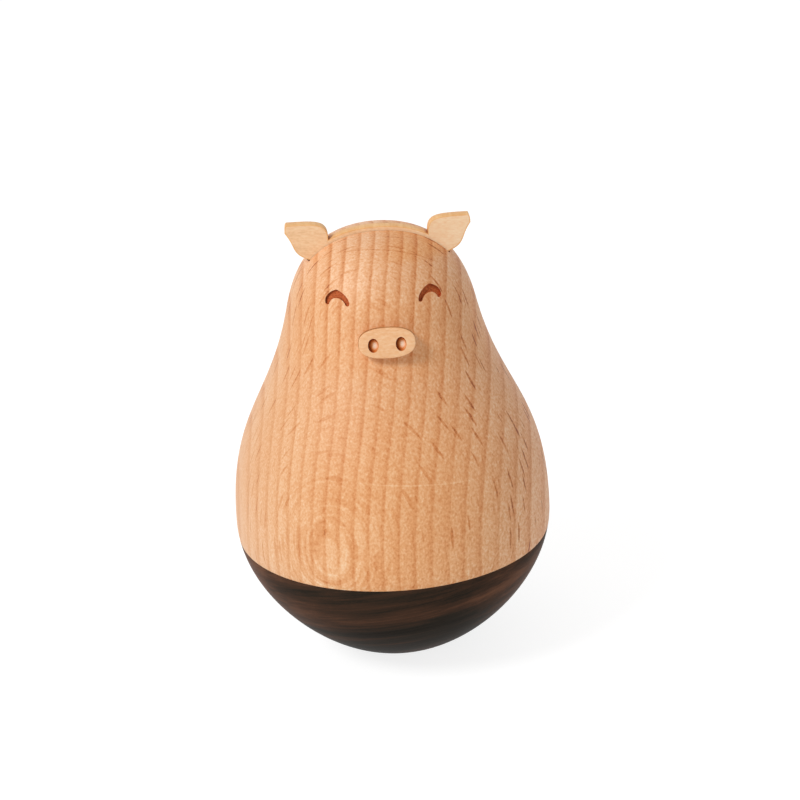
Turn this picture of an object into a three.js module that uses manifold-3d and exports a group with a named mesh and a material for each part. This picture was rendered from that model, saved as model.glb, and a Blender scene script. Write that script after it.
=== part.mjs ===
// A weighted wooden tumbler in the shape of a plain pig. It is turned in two woods: a bored beech
// body on a dark walnut base that holds a steel slug, so the toy rights itself when it is pushed over.
// Millimetres, +Z up, the face looks to -Y, and the origin is the middle of the small flat foot.
import * as THREE from "three";
import { mergeVertices } from "three/addons/utils/BufferGeometryUtils.js";
import Module from "manifold-3d";

// Outline of the two turnings, from the foot to the crown
const FOOT_RADIUS = 4.3;
const BELLY_RADIUS = 35;
const BELLY_HEIGHT = 32;
const TEMPLE_RADIUS = 20.45;
const TEMPLE_RISE = 48.3; // above the belly
const TEMPLE_LEAN = 12.9; // degrees that the head leans in at the temples
const CROWN_RISE = 17.2; // above the temples

// How far the outline runs on straight from each of those places before it turns
const FOOT_FULLNESS = 11.8;
const BILGE_FULLNESS = 16.1; // below the belly
const BELLY_FULLNESS = 24.8; // above the belly
const NECK_FULLNESS = 21.9; // below the temples
const TEMPLE_FULLNESS = 9.5; // above the temples
const CROWN_FULLNESS = 13.7;

// Seam, joining disc and counterweight
const SEAM_DROP = 3.8; // below the belly's widest line
const DISC_IN_BASE = 5;
const DISC_IN_BODY = 3;
const DISC_LEDGE = 1.8; // the step in the base that carries the disc
const DISC_CHAMFER = 0.6;
const POCKET_FLOOR = 8.5; // wood under the counterweight
const POCKET_WALL = 6.3; // wood beside it
const WEIGHT_TAPER = 6; // height of its coned foot
const WEIGHT_CHAMFER = 0.8;

// Bores that lighten the body
const BELLY_BORE_RISE = 22; // above the seam
const NECK_BORE_WALL = 8; // wood left at the temples
const NECK_BORE_DROP = 4; // the bore ends this far below the temples

// Ear plate and its slot
const EAR_THICKNESS = 2.8;
const EAR_SETBACK = 2.3; // the middle of the slot lies this far in front of the axis
const EAR_SLOT_DEPTH = 6; // below the crown
const EAR_REACH = 4.4; // tip beyond the end of the slot
const EAR_RISE = 8.05; // top above the floor of the slot
const EAR_TIP = 0.35; // the blunt tip's corner reaches this far along the top
const EAR_TIP_DROP = 1.75; // and this far down the tip
const EAR_ROOT = 4.7; // inner root inside the end of the slot
const EAR_PROUD = 0.45; // the bridge between the ears stands this far above the crown
const LOBE_INSET = 1.3; // the lower edge leaves the slot's floor this far inside the end of the slot
const LOBE_REACH = 4.9; // it sets off this far outwards
const LOBE_RISE = 1.6; // and this far upwards
const CURL_INSET = 2.45; // it comes up to the tip from this far inside
const CURL_DROP = 3.35; // and this far below
const ARCH_RUN = 6.5; // the top edge runs level this far back from the tip
const ARCH_STAND = 3.65; // and comes down steeply from this far above the root

// Snout plate and its seat
const SNOUT_WIDTH = 11.7;
const SNOUT_HEIGHT = 6.3;
const SNOUT_SQUARENESS = 2.5; // exponent of the oval: 2 is an ellipse
const SNOUT_THICKNESS = 3;
const SNOUT_PROUD = 2.2;
const SNOUT_DROP = 19.3; // its middle below the crown
const SNOUT_EASING = 0.2; // broken edges
const NOSTRIL_WIDTH = 2.2;
const NOSTRIL_HEIGHT = 2.9;
const NOSTRIL_SPREAD = 5.7;
const NOSTRIL_DROP = 0.35; // below the middle of the snout
const NOSTRIL_DEPTH = 0.9;

// Eyes: two crescents carved into the face
const EYE_SPREAD = 19.2;
const EYE_DROP = 9.2; // the top of the crescent below the crown
const EYE_WIDTH = 4.9;
const EYE_HEIGHT = 3;
const EYE_STROKE = 1.45; // at the top of the crescent
const EYE_END = 0.7; // across its round ends
const EYE_PEAK = 0.9; // the upper edge runs this far aside from its blunt peak
const EYE_PEAK_FALL = 0.2; // and falls this much
const EYE_SHOULDER = 1.4; // it comes down straight from this far above the ends
const EYE_VAULT = 0.65; // the lower edge runs level this far aside
const EYE_LEG = 0.7; // and comes down slanting from this far above the ends
const EYE_SPLAY = 0.4; // and this far inside them
const EYE_DEPTH = 0.8;

// Clearances
const FIT = 0.15; // beside a square-cut or turned fit
const GLUE_GAP = 0.3; // round a piece on a slanted seat

// Facets
const TURNED_SIDES = 72;
const CURVE_STEPS = 12;
const TRACE_STEPS = 144; // for measuring the outline
const OVAL_STEPS = 56;
const WELD = 1e-4; // corners nearer than this are one

const seamHeight = BELLY_HEIGHT - SEAM_DROP;
const templeHeight = BELLY_HEIGHT + TEMPLE_RISE;
const crownHeight = templeHeight + CROWN_RISE;

const wasm = await Module();
wasm.setup();

// Solids

// A closed three.js geometry as a solid that can be cut and joined.
function solidFrom(geometry) {
  const bare = geometry.index ? geometry.toNonIndexed() : geometry.clone();
  bare.deleteAttribute("normal");
  bare.deleteAttribute("uv");
  const merged = mergeVertices(bare, WELD);
  const corners = merged.index.array;
  const kept = [];
  for (let i = 0; i < corners.length; i += 3) {
    const [a, b, c] = corners.slice(i, i + 3);
    if (a !== b && b !== c && c !== a) kept.push(a, b, c);
  }
  const vertProperties = merged.attributes.position.array;
  const triVerts = new Uint32Array(kept);
  return new wasm.Manifold(new wasm.Mesh({ numProp: 3, vertProperties, triVerts }));
}

// A solid as a three.js geometry again.
function geometryFrom(solid) {
  const { vertProperties, triVerts } = solid.getMesh();
  const geometry = new THREE.BufferGeometry();
  geometry.setAttribute("position", new THREE.BufferAttribute(vertProperties, 3));
  geometry.setIndex(new THREE.BufferAttribute(triVerts, 1));
  geometry.computeVertexNormals();
  return geometry;
}

// A profile of (radius, height) points turned round the Z axis.
function turned(profile) {
  return new THREE.LatheGeometry(profile, TURNED_SIDES).rotateX(Math.PI / 2);
}

// A shape drawn as (right, up) and given a depth towards +Z.
function extruded(shape, depth) {
  return new THREE.ExtrudeGeometry(shape, { depth, bevelEnabled: false, curveSegments: CURVE_STEPS });
}

// The same, stood up in the XZ plane, from y = back forwards.
function upright(shape, depth, back) {
  return extruded(shape, depth)
    .rotateX(Math.PI / 2)
    .translate(0, back, 0);
}

// Outline of the toy

const at = (radius, height) => new THREE.Vector2(radius, height);

const lean = THREE.MathUtils.degToRad(TEMPLE_LEAN);
const templeRun = at(-Math.sin(lean), Math.cos(lean));
const foot = at(FOOT_RADIUS, 0);
const belly = at(BELLY_RADIUS, BELLY_HEIGHT);
const temple = at(TEMPLE_RADIUS, templeHeight);
const crown = at(0, crownHeight);

const bilgeCurve = new THREE.CubicBezierCurve(
  foot,
  at(FOOT_RADIUS + FOOT_FULLNESS, 0),
  at(BELLY_RADIUS, BELLY_HEIGHT - BILGE_FULLNESS),
  belly,
);
const flankCurve = new THREE.CubicBezierCurve(
  belly,
  at(BELLY_RADIUS, BELLY_HEIGHT + BELLY_FULLNESS),
  temple.clone().addScaledVector(templeRun, -NECK_FULLNESS),
  temple,
);
const crownCurve = new THREE.CubicBezierCurve(
  temple,
  temple.clone().addScaledVector(templeRun, TEMPLE_FULLNESS),
  at(CROWN_FULLNESS, crownHeight),
  crown,
);

// The whole outline as points, each with its outward normal, drawn in by an offset.
function outline(steps, offset) {
  const stations = [];
  for (const curve of [bilgeCurve, flankCurve, crownCurve]) {
    for (let i = stations.length ? 1 : 0; i <= steps; i++) {
      const run = curve.getTangent(i / steps);
      const normal = at(run.y, -run.x);
      const point = curve.getPoint(i / steps).addScaledVector(normal, -offset);
      stations.push({ point, normal });
    }
  }
  return stations;
}

const traced = outline(TRACE_STEPS, 0);
const turnedOutline = outline(CURVE_STEPS, 0).map((station) => station.point);

// The place on the outline between the first station that a test finds and the one before it.
function outlineWhere(reached, axis, value) {
  const after = traced.findIndex((station) => reached(station.point));
  const [a, b] = [traced[after - 1], traced[after]];
  const share = (value - a.point[axis]) / (b.point[axis] - a.point[axis]);
  return {
    point: a.point.clone().lerp(b.point, share),
    normal: a.normal.clone().lerp(b.normal, share).normalize(),
  };
}

const outlineAt = (height) => outlineWhere((p) => p.y >= height, "y", height);
const radiusAt = (height) => outlineAt(height).point.x;
const crownHeightAt = (radius) =>
  outlineWhere((p) => p.y > templeHeight && p.x <= radius, "x", radius).point.y;

// Counterweight, joining disc and the base whose pocket holds them

const discBottom = seamHeight - DISC_IN_BASE;
const discTop = seamHeight + DISC_IN_BODY;
const taperTop = POCKET_FLOOR + WEIGHT_TAPER;
const weightFootRadius = radiusAt(POCKET_FLOOR) - POCKET_WALL - FIT;
const weightRadius = radiusAt(taperTop) - POCKET_WALL - FIT;
const discRadius = weightRadius + DISC_LEDGE;

function counterweightGeometry() {
  const top = discBottom - FIT;
  return turned([
    at(0, POCKET_FLOOR),
    at(weightFootRadius, POCKET_FLOOR),
    at(weightRadius, taperTop),
    at(weightRadius, top - WEIGHT_CHAMFER),
    at(weightRadius - WEIGHT_CHAMFER, top),
    at(0, top),
  ]);
}

function joiningDiscGeometry() {
  return turned([
    at(0, discBottom),
    at(discRadius - DISC_CHAMFER, discBottom),
    at(discRadius, discBottom + DISC_CHAMFER),
    at(discRadius, discTop - DISC_CHAMFER),
    at(discRadius - DISC_CHAMFER, discTop),
    at(0, discTop),
  ]);
}

// The outline up to the seam, then down the stepped pocket to its floor
function baseGeometry() {
  return turned([
    at(0, 0),
    ...turnedOutline.filter((p) => p.y < seamHeight),
    at(radiusAt(seamHeight), seamHeight),
    at(discRadius + FIT, seamHeight),
    at(discRadius + FIT, discBottom),
    at(weightRadius + FIT, discBottom),
    at(weightRadius + FIT, taperTop),
    at(weightFootRadius + FIT, POCKET_FLOOR),
    at(0, POCKET_FLOOR),
  ]);
}

// Ear plate and the slot that it stands in

const slotFloor = crownHeight - EAR_SLOT_DEPTH;
const slotEnd = Math.sqrt(radiusAt(slotFloor) ** 2 - EAR_SETBACK ** 2);
const earRoot = slotEnd - EAR_ROOT;
const lobeFoot = slotEnd - LOBE_INSET;

// The crown's own outline along the slot, raised by the bridge's stand-off
const bridgeHeight = (x) => crownHeightAt(Math.hypot(x, EAR_SETBACK)) + EAR_PROUD;

// The right ear, from the end of the slot round the tip and back to the bridge
function rightEar() {
  const tip = slotEnd + EAR_REACH;
  const top = slotFloor + EAR_RISE;
  const tipFoot = top - EAR_TIP_DROP;
  const bridge = bridgeHeight(earRoot);
  const ear = new THREE.Path();
  ear.moveTo(lobeFoot, slotFloor);
  ear.bezierCurveTo(
    lobeFoot + LOBE_REACH,
    slotFloor + LOBE_RISE,
    tip - CURL_INSET,
    tipFoot - CURL_DROP,
    tip,
    tipFoot,
  );
  ear.quadraticCurveTo(tip, top, tip - EAR_TIP, top);
  ear.bezierCurveTo(tip - EAR_TIP - ARCH_RUN, top, earRoot, bridge + ARCH_STAND, earRoot, bridge);
  return ear.getPoints(CURVE_STEPS);
}

function earPlateGeometry() {
  const right = rightEar();
  const left = right.map((p) => at(-p.x, p.y)).reverse();
  const bridge = [];
  for (let i = 1; i < 2 * CURVE_STEPS; i++) {
    const x = earRoot * (1 - i / CURVE_STEPS);
    bridge.push(at(x, bridgeHeight(x)));
  }
  const plate = new THREE.Shape([...right, ...bridge, ...left]);
  return upright(plate, EAR_THICKNESS, EAR_THICKNESS / 2 - EAR_SETBACK);
}

function earSlotCutter() {
  const slot = new THREE.BoxGeometry(2 * BELLY_RADIUS, EAR_THICKNESS + 2 * FIT, 2 * EAR_SLOT_DEPTH);
  return slot.translate(0, -EAR_SETBACK, slotFloor + EAR_SLOT_DEPTH);
}

// Snout plate and its seat, drawn as (right, up) with the face's normal along +Z

const snoutSeat = outlineAt(crownHeight - SNOUT_DROP);

// An oval whose ends are as square as its exponent says
function oval(width, height, squareness, middle) {
  const reach = (share) => Math.sign(share) * Math.abs(share) ** (2 / squareness);
  const points = [];
  for (let i = 0; i < OVAL_STEPS; i++) {
    const turn = (2 * Math.PI * i) / OVAL_STEPS;
    const corner = at((width / 2) * reach(Math.cos(turn)), (height / 2) * reach(Math.sin(turn)));
    points.push(corner.add(middle));
  }
  return new THREE.Shape(points);
}

// Sets an object on the face, with its +Z out along the face's normal.
function setOnFace(object) {
  object.position.set(0, -snoutSeat.point.x, snoutSeat.point.y);
  object.rotation.x = Math.PI / 2 - Math.atan2(snoutSeat.normal.y, snoutSeat.normal.x);
  object.updateMatrix();
  return object;
}

function snoutGeometry() {
  const shy = 2 * SNOUT_EASING;
  const plate = new THREE.ExtrudeGeometry(
    oval(SNOUT_WIDTH - shy, SNOUT_HEIGHT - shy, SNOUT_SQUARENESS, at(0, 0)),
    {
      depth: SNOUT_THICKNESS - shy,
      bevelSize: SNOUT_EASING,
      bevelThickness: SNOUT_EASING,
      bevelSegments: 1,
    },
  );
  plate.translate(0, 0, SNOUT_PROUD - SNOUT_THICKNESS + SNOUT_EASING);
  let solid = solidFrom(plate);
  for (const side of [-1, 1]) {
    const middle = at((side * NOSTRIL_SPREAD) / 2, -NOSTRIL_DROP);
    const nostril = extruded(oval(NOSTRIL_WIDTH, NOSTRIL_HEIGHT, 2, middle), 2 * NOSTRIL_DEPTH);
    solid = solid.subtract(solidFrom(nostril.translate(0, 0, SNOUT_PROUD - NOSTRIL_DEPTH)));
  }
  return geometryFrom(solid);
}

function snoutSeatCutter() {
  const room = 2 * GLUE_GAP;
  const mouth = oval(SNOUT_WIDTH + room, SNOUT_HEIGHT + room, SNOUT_SQUARENESS, at(0, 0));
  const floor = SNOUT_PROUD - SNOUT_THICKNESS - GLUE_GAP;
  const cutter = extruded(mouth, SNOUT_WIDTH).translate(0, 0, floor);
  return cutter.applyMatrix4(setOnFace(new THREE.Object3D()).matrix);
}

// Eyes

// A crescent under a blunt peak, with splayed legs and round ends
function crescent(middle) {
  const top = crownHeight - EYE_DROP;
  const vault = top - EYE_STROKE;
  const round = EYE_END / 2;
  const ends = top - EYE_HEIGHT + round;
  const out = EYE_WIDTH / 2;
  const inside = out - EYE_END;
  const peak = top - EYE_PEAK_FALL;
  const shoulder = ends + EYE_SHOULDER;
  const leg = ends + EYE_LEG;
  const knee = inside - EYE_SPLAY;
  const shape = new THREE.Shape();
  shape.moveTo(middle - out, ends);
  shape.bezierCurveTo(middle - out, shoulder, middle - EYE_PEAK, peak, middle, top);
  shape.bezierCurveTo(middle + EYE_PEAK, peak, middle + out, shoulder, middle + out, ends);
  shape.absarc(middle + out - round, ends, round, 0, Math.PI, true);
  shape.bezierCurveTo(middle + knee, leg, middle + EYE_VAULT, vault, middle, vault);
  shape.bezierCurveTo(middle - EYE_VAULT, vault, middle - knee, leg, middle - inside, ends);
  shape.absarc(middle - out + round, ends, round, 0, Math.PI, true);
  return shape;
}

// Each crescent is cut in from the front, down to the head's own outline drawn in by the carving's
// depth, so the carving is equally deep all over.
function eyeCutters() {
  const left = outline(CURVE_STEPS, EYE_DEPTH)
    .map((station) => station.point)
    .filter((p) => p.y > BELLY_HEIGHT);
  const uncarved = solidFrom(turned([at(0, left[0].y), ...left]));
  return [-1, 1].map((side) => {
    const gouge = upright(crescent((side * EYE_SPREAD) / 2), BELLY_RADIUS, 0);
    return solidFrom(gouge).subtract(uncarved);
  });
}

// The body: the outline above the seam, bored from below, then slotted, seated and carved

function bodyGeometry() {
  const boreRadius = discRadius + FIT;
  const boreTop = seamHeight + BELLY_BORE_RISE;
  const neckBoreRadius = TEMPLE_RADIUS - NECK_BORE_WALL;
  const neckBoreTop = templeHeight - NECK_BORE_DROP;
  const blank = turned([
    at(0, neckBoreTop),
    at(neckBoreRadius, neckBoreTop),
    at(neckBoreRadius, boreTop),
    at(boreRadius, boreTop),
    at(boreRadius, seamHeight),
    at(radiusAt(seamHeight), seamHeight),
    ...turnedOutline.filter((p) => p.y > seamHeight),
  ]);
  let solid = solidFrom(blank);
  const cutters = [solidFrom(earSlotCutter()), solidFrom(snoutSeatCutter()), ...eyeCutters()];
  for (const cutter of cutters) solid = solid.subtract(cutter);
  return geometryFrom(solid);
}

// Finishes

const beech = { color: "#e2a978", roughness: 0.5, metalness: 0 };
const walnut = { color: "#3b2f28", roughness: 0.5, metalness: 0 };
const cutPlate = { color: "#efc499", roughness: 0.6, metalness: 0 };
const steel = { color: "#8e9195", roughness: 0.35, metalness: 1 };

// Assembly

function piece(name, geometry, finish) {
  const mesh = new THREE.Mesh(geometry, new THREE.MeshStandardMaterial(finish));
  mesh.name = name;
  return mesh;
}

const face = setOnFace(new THREE.Group());
face.add(piece("snout", snoutGeometry(), cutPlate));

const tumbler = new THREE.Group();
tumbler.add(
  piece("base", baseGeometry(), walnut),
  piece("counterweight", counterweightGeometry(), steel),
  piece("joining_disc", joiningDiscGeometry(), beech),
  piece("body", bodyGeometry(), beech),
  piece("ear_plate", earPlateGeometry(), cutPlate),
  face,
);

export default tumbler;
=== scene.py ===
"""Looks of a weighted wooden tumbler in the shape of a plain pig.

The two turnings, the ear plate and the snout plate are modelled again as smooth, finished pieces in the
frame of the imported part; the steel slug and the joining disc inside keep their solids. All lengths are
in metres, +Z is up and the face looks to -Y.

In a finish, lengths are in millimetres instead. A span there runs from where something starts to where it
is full, and a share is how much of something goes into the tone.
"""

import logging
import math
from collections.abc import Iterable, Mapping, Sequence
from dataclasses import dataclass, field, replace
from enum import Enum, IntEnum
from typing import Any, Union

import bmesh
import bpy
from mathutils import Color, Euler, Matrix, Quaternion, Vector
from mathutils.geometry import interpolate_bezier


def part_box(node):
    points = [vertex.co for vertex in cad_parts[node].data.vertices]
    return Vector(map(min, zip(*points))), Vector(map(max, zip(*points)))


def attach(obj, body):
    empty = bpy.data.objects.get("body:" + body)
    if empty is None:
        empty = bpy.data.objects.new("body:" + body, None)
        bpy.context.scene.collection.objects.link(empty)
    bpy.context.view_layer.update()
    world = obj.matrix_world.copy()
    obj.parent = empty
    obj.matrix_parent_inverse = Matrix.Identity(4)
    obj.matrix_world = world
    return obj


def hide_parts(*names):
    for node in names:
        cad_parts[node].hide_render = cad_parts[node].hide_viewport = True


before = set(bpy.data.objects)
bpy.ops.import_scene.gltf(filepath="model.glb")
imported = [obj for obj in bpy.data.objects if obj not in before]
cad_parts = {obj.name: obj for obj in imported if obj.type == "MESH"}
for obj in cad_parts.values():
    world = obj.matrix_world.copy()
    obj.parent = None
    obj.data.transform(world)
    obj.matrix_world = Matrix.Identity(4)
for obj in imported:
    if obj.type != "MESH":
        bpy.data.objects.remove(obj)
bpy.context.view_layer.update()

LOG = logging.getLogger("tumbler")
BODY_NAME = "root"
MM = 0.001
WELD = 1e-6
CREASE = math.radians(35)
WHITE = (1.0, 1.0, 1.0)

Colour = tuple[float, float, float]
Sizes = tuple[float, float, float]
Span = tuple[float, float]
Stops = tuple[tuple[float, Colour], ...]
Loop = list[Vector]
Number = Union["Field", float]


class Side(Enum):
    """The two halves of the face, as the sign of X."""

    LEFT = -1
    RIGHT = 1


class Slot(Enum):
    """The record's material slots."""

    BEECH = "beech"
    WALNUT = "walnut"
    PLATE = "cut_plate"


class PlateFace(IntEnum):
    """The material numbers of a cut plate."""

    FRONT = 0
    EDGE = 1
    MARGIN = 2


def tint(code: str) -> Colour:
    """Turns a screen colour such as e2a978 into the linear colour that a shader takes.

    Args:
        code: Six hexadecimal digits, two for each of red, green and blue.

    Returns:
        Linear red, green and blue from 0 to 1.
    """
    screen = Color([level / 255 for level in bytes.fromhex(code)])
    red, green, blue = screen.from_srgb_to_scene_linear()
    return red, green, blue


# Shader graphs


@dataclass(frozen=True)
class Grain:
    """Smooth noise: its size along each axis in millimetres, and how many finer layers it has."""

    size: Sizes
    layers: float = 1.0


@dataclass(frozen=True)
class Lenses:
    """Scattered lens-shaped marks.

    The spacing is given along each axis in millimetres. The edge is where a mark fades in, in units of that
    spacing, and the chance is the range of random numbers over which a mark gains its strength.
    """

    spacing: Sizes
    edge: Span
    chance: Span


class Field:
    """A number that changes over a surface. Arithmetic on it adds Math nodes to its graph."""

    def __init__(self, graph: "Graph", socket: bpy.types.NodeSocket) -> None:
        """Wraps one output socket of a graph."""
        self.graph = graph
        self.socket = socket

    def _math(self, operation: str, *values: Number) -> "Field":
        """Adds one Math node and returns its result."""
        made = self.graph.add("ShaderNodeMath", {"operation": operation}, dict(enumerate(values)))
        return self.graph.field(made)

    def __add__(self, other: Number) -> "Field":
        """self + other."""
        return self._math("ADD", self, other)

    def __radd__(self, other: Number) -> "Field":
        """other + self."""
        return self._math("ADD", other, self)

    def __sub__(self, other: Number) -> "Field":
        """self - other."""
        return self._math("SUBTRACT", self, other)

    def __rsub__(self, other: Number) -> "Field":
        """other - self."""
        return self._math("SUBTRACT", other, self)

    def __mul__(self, other: Number) -> "Field":
        """self * other."""
        return self._math("MULTIPLY", self, other)

    def __rmul__(self, other: Number) -> "Field":
        """other * self."""
        return self._math("MULTIPLY", other, self)

    def __truediv__(self, other: Number) -> "Field":
        """self / other."""
        return self._math("DIVIDE", self, other)

    def __pow__(self, other: Number) -> "Field":
        """self to the power of other."""
        return self._math("POWER", self, other)

    def __abs__(self) -> "Field":
        """The size of self without its sign."""
        return self._math("ABSOLUTE", self)

    def angle(self, other: Number) -> "Field":
        """The angle in radians of the direction that goes other along and self up."""
        return self._math("ARCTAN2", self, other)

    def at_least(self, other: Number) -> "Field":
        """The larger of self and other."""
        return self._math("MAXIMUM", self, other)

    def fraction(self) -> "Field":
        """What is left of self above the next whole number below it."""
        return self._math("FRACT", self)

    def step(self, low: float, high: float) -> "Field":
        """Rises smoothly from 0 to 1, or falls where low is the larger.

        Args:
            low: Where it is 0.
            high: Where it is 1.

        Returns:
            A number from 0 to 1.
        """
        settings = {"interpolation_type": "SMOOTHSTEP"}
        made = self.graph.add("ShaderNodeMapRange", settings, {0: self, 1: low, 2: high, 3: 0.0, 4: 1.0})
        return self.graph.field(made)


class Graph:
    """A node tree, with the few ways in which its nodes are made."""

    def __init__(self, tree: bpy.types.NodeTree, shader: str) -> None:
        """Takes up a node tree.

        Args:
            tree: The tree, which starts with one shader.
            shader: That shader's name.
        """
        self.tree = tree
        self.shader = tree.nodes[shader]

    def add(
        self,
        kind: str,
        settings: Mapping[str, Any] | None = None,
        inputs: Mapping[str | int, Any] | None = None,
    ) -> bpy.types.Node:
        """Makes one node.

        Args:
            kind: The node's type.
            settings: Its properties, set first; stops is the list of a ramp's positions and colours.
            inputs: A value, a Field or an output socket for each input, by name or by number.

        Returns:
            The node.
        """
        node = self.tree.nodes.new(kind)
        for key, value in (settings or {}).items():
            if key == "stops":
                self._set_stops(node.color_ramp, value)
            else:
                setattr(node, key, value)
        for key, value in (inputs or {}).items():
            self.feed(node.inputs[key], value)
        return node

    def feed(self, socket: bpy.types.NodeSocket, value: Any) -> None:
        """Links an input to a Field or an output socket, or sets it to a plain value.

        Args:
            socket: The input.
            value: What goes into it.
        """
        source = value.socket if isinstance(value, Field) else value
        if isinstance(source, bpy.types.NodeSocket):
            self.tree.links.new(source, socket)
        elif isinstance(source, tuple) and socket.type == "RGBA":
            socket.default_value = (*source, 1.0)
        else:
            socket.default_value = source

    @staticmethod
    def _set_stops(ramp: bpy.types.ColorRamp, stops: Stops) -> None:
        """Gives a ramp its stops in place of the two that it starts with.

        Args:
            ramp: The ramp.
            stops: The stops' positions and colours.
        """
        while len(ramp.elements) < len(stops):
            ramp.elements.new(1.0)
        for element, (position, colour) in zip(ramp.elements, stops):
            element.position = position
            element.color = (*colour, 1.0)

    def field(self, node: bpy.types.Node, output: str | int = 0) -> Field:
        """One output of a node, as a number to reckon with."""
        return Field(self, node.outputs[output])

    def seen(self) -> Field:
        """Tells looking from lighting.

        Returns:
            1 for what is looked at, straight, in a gloss or through glass, and 0 for what gives light.
        """
        path = self.add("ShaderNodeLightPath")
        rays = ("Is Camera Ray", "Is Glossy Ray", "Is Transmission Ray")
        straight, glossy, through = (self.field(path, ray) for ray in rays)
        return straight.at_least(glossy).at_least(through)

    def coordinates(
        self,
        turn: Euler = Euler((0.0, 0.0, 0.0)),
        middle: Vector = Vector((0.0, 0.0, 0.0)),
    ) -> bpy.types.NodeSocket:
        """The place on the piece in millimetres, from a middle and in axes turned against the part's own.

        Args:
            turn: How the place is turned about the middle.
            middle: The place that becomes the origin, in millimetres.

        Returns:
            A vector socket.
        """
        place = self.add("ShaderNodeTexCoord").outputs["Object"]
        shift = -(turn.to_matrix() @ middle)
        scale = Vector((1 / MM, 1 / MM, 1 / MM))
        inputs = {"Vector": place, "Location": shift, "Rotation": turn, "Scale": scale}
        return self.add("ShaderNodeMapping", None, inputs).outputs["Vector"]

    def vector(self, x: Number, y: Number, z: Number) -> bpy.types.NodeSocket:
        """Puts three numbers together as a vector."""
        return self.add("ShaderNodeCombineXYZ", None, {0: x, 1: y, 2: z}).outputs[0]

    def axes(self, vector: bpy.types.NodeSocket) -> tuple[Field, Field, Field]:
        """The three components of a vector."""
        split = self.add("ShaderNodeSeparateXYZ", None, {0: vector})
        return self.field(split, 0), self.field(split, 1), self.field(split, 2)

    def _stretched(self, vector: bpy.types.NodeSocket, sizes: Sizes) -> bpy.types.NodeSocket:
        """Divides a place by the size of a pattern along each axis."""
        made = self.add("ShaderNodeVectorMath", {"operation": "DIVIDE"}, {0: vector, 1: sizes})
        return made.outputs[0]

    def noise(self, vector: bpy.types.NodeSocket, grain: Grain) -> Field:
        """Draws smooth noise about 0.

        Args:
            vector: The place, in millimetres.
            grain: The noise.

        Returns:
            A number between about -0.5 and 0.5.
        """
        place = self._stretched(vector, grain.size)
        made = self.add("ShaderNodeTexNoise", None, {"Vector": place, "Scale": 1.0, "Detail": grain.layers})
        return self.field(made, "Fac") - 0.5

    def marks(self, vector: bpy.types.NodeSocket, lenses: Lenses) -> Field:
        """Draws scattered lens-shaped marks.

        Args:
            vector: The place, in millimetres.
            lenses: The marks.

        Returns:
            1 in the middle of a strong mark and 0 between the marks.
        """
        place = self._stretched(vector, lenses.spacing)
        made = self.add("ShaderNodeTexVoronoi", None, {"Vector": place, "Scale": 1.0})
        chance = self.field(self.add("ShaderNodeSeparateColor", None, {0: made.outputs["Color"]}))
        return self.field(made, "Distance").step(*lenses.edge) * chance.step(*lenses.chance)

    def ramp(self, value: Field, stops: Stops) -> bpy.types.NodeSocket:
        """A colour for each value from 0 to 1."""
        return self.add("ShaderNodeValToRGB", {"stops": stops}, {0: value}).outputs["Color"]

    def mix(self, factor: Number, first: Any, second: Any, blend: str = "MIX") -> bpy.types.NodeSocket:
        """Mixes two colours.

        Args:
            factor: How much of the second colour is taken.
            first: A colour or a colour socket.
            second: A colour or a colour socket.
            blend: The way in which the two are mixed.

        Returns:
            A colour socket.
        """
        settings = {"data_type": "RGBA", "blend_type": blend}
        return self.add("ShaderNodeMix", settings, {0: factor, 6: first, 7: second}).outputs[2]

    def bump(self, height: Field, depth: float, strength: float) -> bpy.types.NodeSocket:
        """A normal from a height.

        Args:
            height: The height, in units of the depth.
            depth: What a height of 1 stands for, in millimetres.
            strength: How much of it shows.

        Returns:
            A vector socket.
        """
        inputs = {"Height": height, "Distance": depth * MM, "Strength": strength}
        return self.add("ShaderNodeBump", None, inputs).outputs["Normal"]

    def dress(self, **sockets: Any) -> None:
        """Feeds the shader.

        Args:
            sockets: A value or a link for each named socket, with _ for a space.
        """
        for name, value in sockets.items():
            self.feed(self.shader.inputs[name.replace("_", " ")], value)


class MaterialGraph(Graph):
    """The nodes of a new material, which starts with a single Principled shader."""

    def __init__(self, name: str) -> None:
        """Starts the material.

        Args:
            name: The material's name.
        """
        self.material = bpy.data.materials.new(name)
        self.material.use_nodes = True
        super().__init__(self.material.node_tree, "Principled BSDF")


# Finishes


@dataclass(frozen=True)
class ToolMark:
    """A faint line that a tool left across turned wood, fading to both ends."""

    middle: Vector
    across: Vector
    tone: float
    reach: float
    width: float = 0.22

    def shade(self, graph: Graph) -> Field:
        """The change of tone that the mark makes.

        Args:
            graph: The material that it is drawn in.

        Returns:
            The change, to be added to the wood's tone.
        """
        x, y, z = graph.axes(graph.coordinates(middle=self.middle))
        off = abs(x * self.across.x + y * self.across.y + z * self.across.z)
        away = (x * x + y * y + z * z) ** 0.5
        return self.tone * off.step(self.width, 0.0) * away.step(self.reach, self.reach / 2)


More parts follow.
